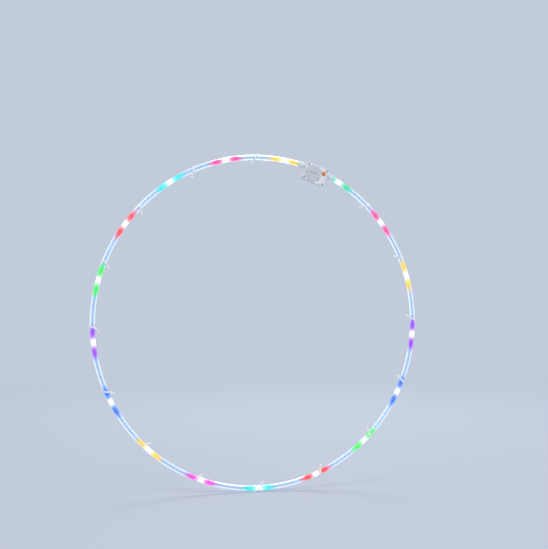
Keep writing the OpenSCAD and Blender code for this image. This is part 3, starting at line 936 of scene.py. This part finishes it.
def strapPath():
    # the strap's inner outline as (z, y): round the tube's front, straight sides, bends behind the rod
    s = tieSettings
    inner = tubeR + s["room"]
    bend = s["bendR"]
    bendY = s["backY"] - bend
    points = []
    for i in range(s["arcSteps"] + 1):
        turn = -math.pi / 2 + math.pi / 2 * i / s["arcSteps"]
        points.append((inner * math.cos(turn), inner * math.sin(turn)))
    points.append((inner, bendY / 2))
    for i in range(s["bendSteps"] + 1):
        turn = math.pi / 2 * i / s["bendSteps"]
        points.append((inner - bend + bend * math.cos(turn), bendY + bend * math.sin(turn)))
    points.append((0.0, s["backY"]))
    mirrored = [(-z, y) for z, y in reversed(points[1:-1])]
    return points + mirrored


def extrudePath(width, slant, fill):
    # the strap's inner outline, leaning by the slant and extruded along x
    path = strapPath()
    startFresh()
    bpy.ops.mesh.primitive_circle_add(vertices=len(path), radius=tubeR, fill_type=fill)
    band = bpy.context.object
    for vertex, (z, y) in zip(band.data.vertices, path):
        vertex.co = (z * math.tan(slant) - width / 2, y, z)
    editAll(band)
    bpy.ops.mesh.extrude_region_move(TRANSFORM_OT_translate={"value": (width, 0, 0)})
    faceOutwards(band)
    return band


def makeStrap():
    s = tieSettings
    strap = extrudePath(s["width"] / math.cos(s["slant"]), s["slant"], "NOTHING")
    middle = Vector((0, s["backY"] / 4, 0))
    outward = sum(p.normal.dot(p.center - middle) * p.area for p in strap.data.polygons)
    thicken(strap, s["thick"], outward > 0)
    roundEdges(strap, s["edge"])
    faceOutwards(strap)
    return strap


def makeTieHead():
    # in the slant's own frame first: x across the strap, z outwards from the ring's middle
    s = tieSettings
    head = boxPiece((-s["headWide"] / 2, -s["headTall"] / 2, -s["headOut"]),
                    (s["headWide"] / 2, s["headTall"] / 2, -tubeR / 2))
    editAll(head)
    selectWhere(head, "EDGE", lambda middle, along: abs(along.z) > mainly)
    bpy.ops.mesh.bevel(offset=s["headR"], segments=4, affect="EDGES")
    objectMode()
    room = s["windowRoom"]
    window = boxPiece(
        (-s["width"] / 2 - room, s["tailY"] - s["thick"] / 2 - room, -s["headOut"] - s["windowDeep"]),
        (s["width"] / 2 + room, s["tailY"] + s["thick"] / 2 + room, -s["headOut"] + s["windowDeep"]))
    cutAway(head, window)
    head.data.transform(Matrix.Rotation(s["slant"], 4, "Y"))
    cutAway(head, extrudePath(s["cutterLong"], 0.0, "NGON"))      # the space that the strap goes round
    roundEdges(head, s["edge"])
    return head


def makeTieTail():
    s = tieSettings
    top = -s["headOut"] + s["windowDeep"] + s["thick"]
    end = -s["headOut"] - s["tail"]
    front = s["tailY"] - s["thick"] / 2
    tail = boxPiece((-s["width"] / 2, front, end), (s["width"] / 2, front + s["thick"], top))
    editAll(tail)
    teeth = int(s["tail"] / s["toothPitch"])
    first = -s["headOut"] - teeth * s["toothPitch"]
    inner = s["width"] / 2 - s["toothSide"]
    for i in range(2 * teeth + 1):
        sliceAll((0, 0, first + i * s["toothPitch"] / 2), (0, 0, 1))
    for side in (-inner, inner):
        sliceAll((side, 0, 0), (1, 0, 0))

    def isTooth(middle, normal):
        # every other half pitch of the row on the tail's front
        inRow = normal.y < -mainly and abs(middle.x) < inner and first < middle.z < -s["headOut"]
        return inRow and int((middle.z - first) / s["toothPitch"] * 2) % 2 == 0

    selectWhere(tail, "FACE", isTooth)
    bpy.ops.mesh.extrude_region_move(TRANSFORM_OT_translate={"value": (0, -s["toothOut"], 0)})
    slope = (math.sin(s["tailCut"]), 0, -math.cos(s["tailCut"]))
    sliceAll((-s["width"] / 2, 0, end + s["tailTrim"]), slope, use_fill=True, clear_outer=True)
    objectMode()
    tail.data.transform(Matrix.Rotation(s["slant"], 4, "Y"))
    return tail


def makeTies():
    s = tieSettings
    tie = joinPieces("tieModel", [makeStrap(), makeTieHead(), makeTieTail()])
    smooth(tie, degrees=35)
    pitch = math.tau / s["places"]
    copies = [copyPiece(tie, "tieCopy", onRing(caseAngle + k * pitch)) for k in range(1, s["places"])]
    bpy.data.objects.remove(tie)
    return joinPieces("nylonTies", copies)


mouldSettings = {
    "depth": 0.05 * mm,       # of the grain
    "milkReach": 1.2 * mm,    # how far light spreads in a milky plastic
}


def finishPlastic(name, light, dark, low, high, grain=1700.0, tone=90.0, scuffs=0.4, coat=0.0, milk=0.0):
    material, tree, shader = newFinish(name)
    look = placeGroup(tree, mouldGrain, {
        "Light": light, "Dark": dark, "Rough Low": low, "Rough High": high,
        "Grain Scale": grain, "Tone Scale": tone, "Scuffs": scuffs})
    feed(tree, shader, {
        "Base Color": look["Color"], "Roughness": look["Roughness"], "Coat Weight": coat,
        "Normal": bumpFrom(tree, look["Height"], mouldSettings["depth"], strength=0.8)})
    if milk:
        feed(tree, shader, {"Subsurface Weight": milk, "Subsurface Radius": white,
                            "Subsurface Scale": mouldSettings["milkReach"]})
    return material


ties = makeTies()
nylon = finishPlastic("naturalNylonFinish", *tieSettings["nylon"], grain=1800.0, tone=220.0, scuffs=0.0,
                      coat=0.3, milk=0.6)
dress(ties, nylon, "ring", "tie_nylon", "spoke_ties")
print("ties", len(ties.data.polygons), "faces")


# Shrink sleeves over the tube's ends, drawn in a little at both rims

sleeveSettings = {
    "room": 0.06 * mm,        # round the tube
    "wall": 0.5 * mm,
    "wallLeft": 0.6,          # share of the wall that the model keeps
    "sides": 40,
    "steps": 24,
    "ripple": 0.05 * mm,
    "waves": 3,               # ripples along the sleeve
    "lobes": 3,               # and round it
    "lobeShare": 0.4,
    "lobeTwist": 9,
    "rim": 0.12 * mm,         # how far a rim is drawn in
    "rimLong": 1 / 14,        # along this share of the sleeve
    "film": ((0.80, 0.84, 0.88), (0.66, 0.71, 0.77), 0.18, 0.4),     # two tones, two ends of roughness
}


def makeSleeve(name, node):
    s = sleeveSettings
    low, high = arcSpan(node)
    sleeve = spinSection(name, s["sides"], tubeR + s["room"] + s["wall"], low, high, s["steps"])
    faceOutwards(sleeve)
    for vertex in sleeve.data.vertices:
        angle = ringAngle(vertex.co)
        share = (angle - low) / (high - low)
        local = onRing(angle).inverted() @ vertex.co
        around = math.atan2(local.y, local.z)
        lobes = 1 - s["lobeShare"] + s["lobeShare"] * math.cos(s["lobes"] * around + s["lobeTwist"] * share)
        grow = s["ripple"] * math.sin(math.tau * s["waves"] * share) * lobes
        grow -= s["rim"] * max(0, 1 - min(share, 1 - share) / s["rimLong"])
        reach = math.hypot(local.y, local.z)
        scaled = (reach + min(0.0, grow - s["ripple"])) / reach
        vertex.co = onRing(angle) @ Vector((local.x, local.y * scaled, local.z * scaled))
    thicken(sleeve, s["wall"] * s["wallLeft"])
    smooth(sleeve, degrees=50)
    return sleeve


sleeveFinish = finishPlastic("shrinkSleeveFinish", *sleeveSettings["film"], grain=900.0, tone=160.0,
                             scuffs=0.15, coat=0.4)
for sleeveName, sleeveNode in (("startSleeve", "sleeve_start"), ("endSleeve", "sleeve_end")):
    dress(makeSleeve(sleeveName, sleeveNode), sleeveFinish, "ring", "shrink_sleeve", sleeveNode)
print("sleeves")


# Finishes for the case and what it holds: light and dark tone, lowest and highest roughness

casePlastics = {
    "shell": ((0.80, 0.82, 0.85), (0.72, 0.745, 0.78), 0.42, 0.62),
    "lid": ((0.62, 0.65, 0.70), (0.52, 0.55, 0.60), 0.38, 0.58),
    "button": ((0.80, 0.22, 0.05), (0.66, 0.15, 0.03), 0.5, 0.68),
    "rubber": ((0.05, 0.05, 0.055), (0.025, 0.025, 0.03), 0.6, 0.8),
    "silicone": ((0.5, 0.1, 0.06), (0.38, 0.06, 0.04), 0.4, 0.6),
    "chip": ((0.05, 0.05, 0.055), (0.03, 0.03, 0.032), 0.5, 0.7),
    "plunger": ((0.86, 0.84, 0.77), (0.76, 0.73, 0.65), 0.35, 0.55),
}
caseMetals = {
    "screwSteel": ((0.74, 0.74, 0.75), (0.55, 0.56, 0.58), 0.2, 0.4),
    "cellSteel": ((0.80, 0.80, 0.80), (0.66, 0.66, 0.68), 0.15, 0.32),
    "contactBrass": ((0.82, 0.66, 0.30), (0.66, 0.50, 0.20), 0.2, 0.4),
}
caseNodes = {
    "shell": ("case_base", "case_cover"),
    "lid": ("battery_lid",),
    "button": ("push_button",),
    "rubber": ("case_gasket",),
    "silicone": ("lid_seal",),
    "chip": ("controller_chip", "limit_resistors", "switch_body"),
    "plunger": ("switch_plunger",),
    "screwSteel": ("case_screws",),
    "cellSteel": ("cell_inner", "cell_outer"),
    "contactBrass": ("contact_negative", "contact_positive"),
    "board": ("circuit_board",),
}
boardSettings = {
    "tracks": {"Scale": 420.0, "Color1": (0.02, 0.22, 0.09), "Color2": (0.03, 0.28, 0.12),
               "Mortar": (0.08, 0.42, 0.18), "Mortar Size": 0.06},
    "trackDepth": 0.03 * mm,
    "weaveScale": 1500.0,
    "rough": (0.25, 0.45),
}


def finishBoard():
    s = boardSettings
    material, tree, shader = newFinish("boardFinish")
    place = objectPlace(tree)
    turned = addNode(tree, "ShaderNodeMapping", {"Vector": place, "Rotation": (0, -caseAngle, 0)})
    laid = {"Vector": turned.outputs["Vector"], **s["tracks"]}
    tracks = addNode(tree, "ShaderNodeTexBrick", laid).outputs
    weave = addNoise(tree, place, s["weaveScale"], detail=3.0)
    feed(tree, shader, {
        "Base Color": tracks["Color"], "Roughness": spreadTo(tree, weave, *s["rough"]),
        "Normal": bumpFrom(tree, tracks["Fac"], s["trackDepth"], strength=0.5)})
    return material


caseFinishes = {name: finishPlastic(name + "Finish", *values) for name, values in casePlastics.items()}
caseFinishes.update({name: finishMetal(name + "Finish", *values) for name, values in caseMetals.items()})
caseFinishes["board"] = finishBoard()
for finishName, dressedNodes in caseNodes.items():
    for dressedNode in dressedNodes:
        clothe(nodes[dressedNode], caseFinishes[finishName])
print("case finishes")


# Lock marks: a pointer on the lid, a dot where it is locked and a ring where it is free

markSettings = {
    "tall": 0.15 * mm,
    "sink": 0.05 * mm,
    "size": 0.75 * mm,
    "ringShare": 0.82,         # of the size, to the middle of the ring's line
    "ringFlat": 0.9,
    "pointerShape": (0.85, 1.25),
    "lidSetIn": 2.1 * mm,      # the pointer, from the lid's rim inwards
    "coverSetOut": 1.5 * mm,   # dot and ring, from the lid's rim outwards
    "locked": math.radians(-30),
    "ink": ((0.16, 0.17, 0.19), (0.10, 0.11, 0.12), 0.45, 0.65),     # two tones, two ends of roughness
}


def lidMeasures():
    # the lid's middle and radius, from its node and its joint
    joint = next(j for j in frame["joints"] if j["name"] == "lid_turn")
    middle = Vector(joint["pos_m"])
    points = [v.co for v in nodes["battery_lid"].data.vertices]
    radius = max(math.hypot(p.x - middle.x, p.z - middle.z) for p in points)
    turn = math.radians(joint["range_deg"][1])
    return middle, radius, turn, min(p.y for p in points)


def onLid(middle, face, out, angle):
    # a mark's own frame: z stands off the face towards the front, x points away from the lid's middle
    along = Matrix.Rotation(caseAngle, 4, "Y") @ Matrix.Rotation(-angle, 4, "Y")
    place = Matrix.Translation((middle.x, face, middle.z)) @ along
    return place @ Matrix.Translation((out, 0, 0)) @ Matrix.Rotation(math.pi / 2, 4, "X")


def makeDot(name, sides):
    s = markSettings
    edge = s["tall"] / 3
    rings = [(-s["sink"], s["size"]), (s["tall"] - edge, s["size"]), (s["tall"], s["size"] - edge)]
    dot = turnRings(name, rings, sides)
    smooth(dot, degrees=30)
    return dot


def makeOpenRing():
    s = markSettings
    startFresh()
    bpy.ops.mesh.primitive_torus_add(major_radius=s["size"] * s["ringShare"], minor_radius=s["tall"],
                                     major_segments=32, minor_segments=10, location=(0, 0, 0))
    ring = bpy.context.object
    editAll(ring)
    bpy.ops.transform.resize(value=(1, 1, s["ringFlat"]), center_override=(0, 0, 0))
    objectMode()
    smooth(ring, degrees=60)
    return ring


def makeMarks():
    s = markSettings
    middle, radius, turn, lidFace = lidMeasures()
    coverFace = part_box("case_cover")[0].y
    pointer = makeDot("lidPointer", sides=3)
    pointer.data.transform(Matrix.Diagonal((*s["pointerShape"], 1, 1)))
    pointer.data.transform(Matrix.Rotation(-math.pi / 2, 4, "Z"))
    pointer.data.transform(onLid(middle, lidFace, radius - s["lidSetIn"], s["locked"]))
    locked = makeDot("lockedDot", sides=28)
    locked.data.transform(onLid(middle, coverFace, radius + s["coverSetOut"], s["locked"]))
    free = makeOpenRing()
    free.data.transform(onLid(middle, coverFace, radius + s["coverSetOut"], s["locked"] + turn))
    return pointer, joinPieces("coverMarks", [locked, free])


lidPointer, coverMarks = makeMarks()
markInk = finishPlastic("markFinish", *markSettings["ink"])
dress(lidPointer, markInk, "lid", "chip_black")
dress(coverMarks, markInk, "ring", "chip_black")
print("lock marks")


# Floor and light

stageSettings = {
    "floorR": 12.0,
    "floorSides": 96,
    "floorGap": 0.2 * mm,    # under the lowest point
    "floor": (0.495, 0.55, 0.64),
    "floorRough": 0.8,
    "backdrop": (0.54, 0.60, 0.70),
    "fadeFrom": 0.7,         # metres from the middle where the floor starts to turn into the backdrop
    "fadeTo": 2.6,
    "worldLight": (0.62, 0.62, 0.6386),
}


def makeFloor():
    s = stageSettings
    startFresh()
    bpy.ops.mesh.primitive_circle_add(vertices=s["floorSides"], radius=s["floorR"], fill_type="NGON",
                                      location=(0, 0, cadBounds[0].z - s["floorGap"]))
    floor = bpy.context.object
    floor.name = "floor"
    material, tree, shader = newFinish("floorFinish")
    feed(tree, shader, {"Base Color": s["floor"], "Roughness": s["floorRough"]})
    away = addNode(tree, "ShaderNodeVectorMath", {0: objectPlace(tree)}, operation="LENGTH")
    fade = addNode(tree, "ShaderNodeMapRange", {
        "Value": away.outputs["Value"], "From Min": s["fadeFrom"], "From Max": s["fadeTo"]},
        interpolation_type="SMOOTHSTEP")
    plain = addNode(tree, "ShaderNodeEmission", {"Color": s["backdrop"]})
    mix = addNode(tree, "ShaderNodeMixShader", {
        0: addMath(tree, "MULTIPLY", fade.outputs["Result"], seenDirectly(tree)),
        1: shader.outputs["BSDF"], 2: plain.outputs["Emission"]})
    feed(tree, tree.nodes["Material Output"], {"Surface": mix.outputs["Shader"]})
    clothe(floor, material)


def makeWorld():
    s = stageSettings
    world = bpy.data.worlds.new("studio")
    scene.world = world
    world.use_nodes = True
    tree = world.node_tree
    shown = mixColours(tree, seenDirectly(tree), s["worldLight"], s["backdrop"])
    feed(tree, tree.nodes["Background"], {"Color": shown})


studioLamps = {
    "keyLight": {"place": (-1.3, -1.9, 1.7), "size": 1.4, "power": 26.0},
    "fillLight": {"place": (1.9, -1.3, 0.7), "size": 1.6, "power": 10.0},
    "rimLight": {"place": (0.7, 1.8, 1.6), "size": 1.2, "power": 22.0},
}


def makeStudioLamps():
    for name, s in studioLamps.items():
        data = bpy.data.lights.new(name, "AREA")
        data.size = s["size"]
        data.energy = s["power"]
        lamp = bpy.data.objects.new(name, data)
        lamp.location = s["place"]
        lamp.rotation_euler = (-Vector(s["place"])).to_track_quat("-Z", "Y").to_euler()
        scene.collection.objects.link(lamp)


makeFloor()
makeWorld()
makeStudioLamps()
print("stage lit")
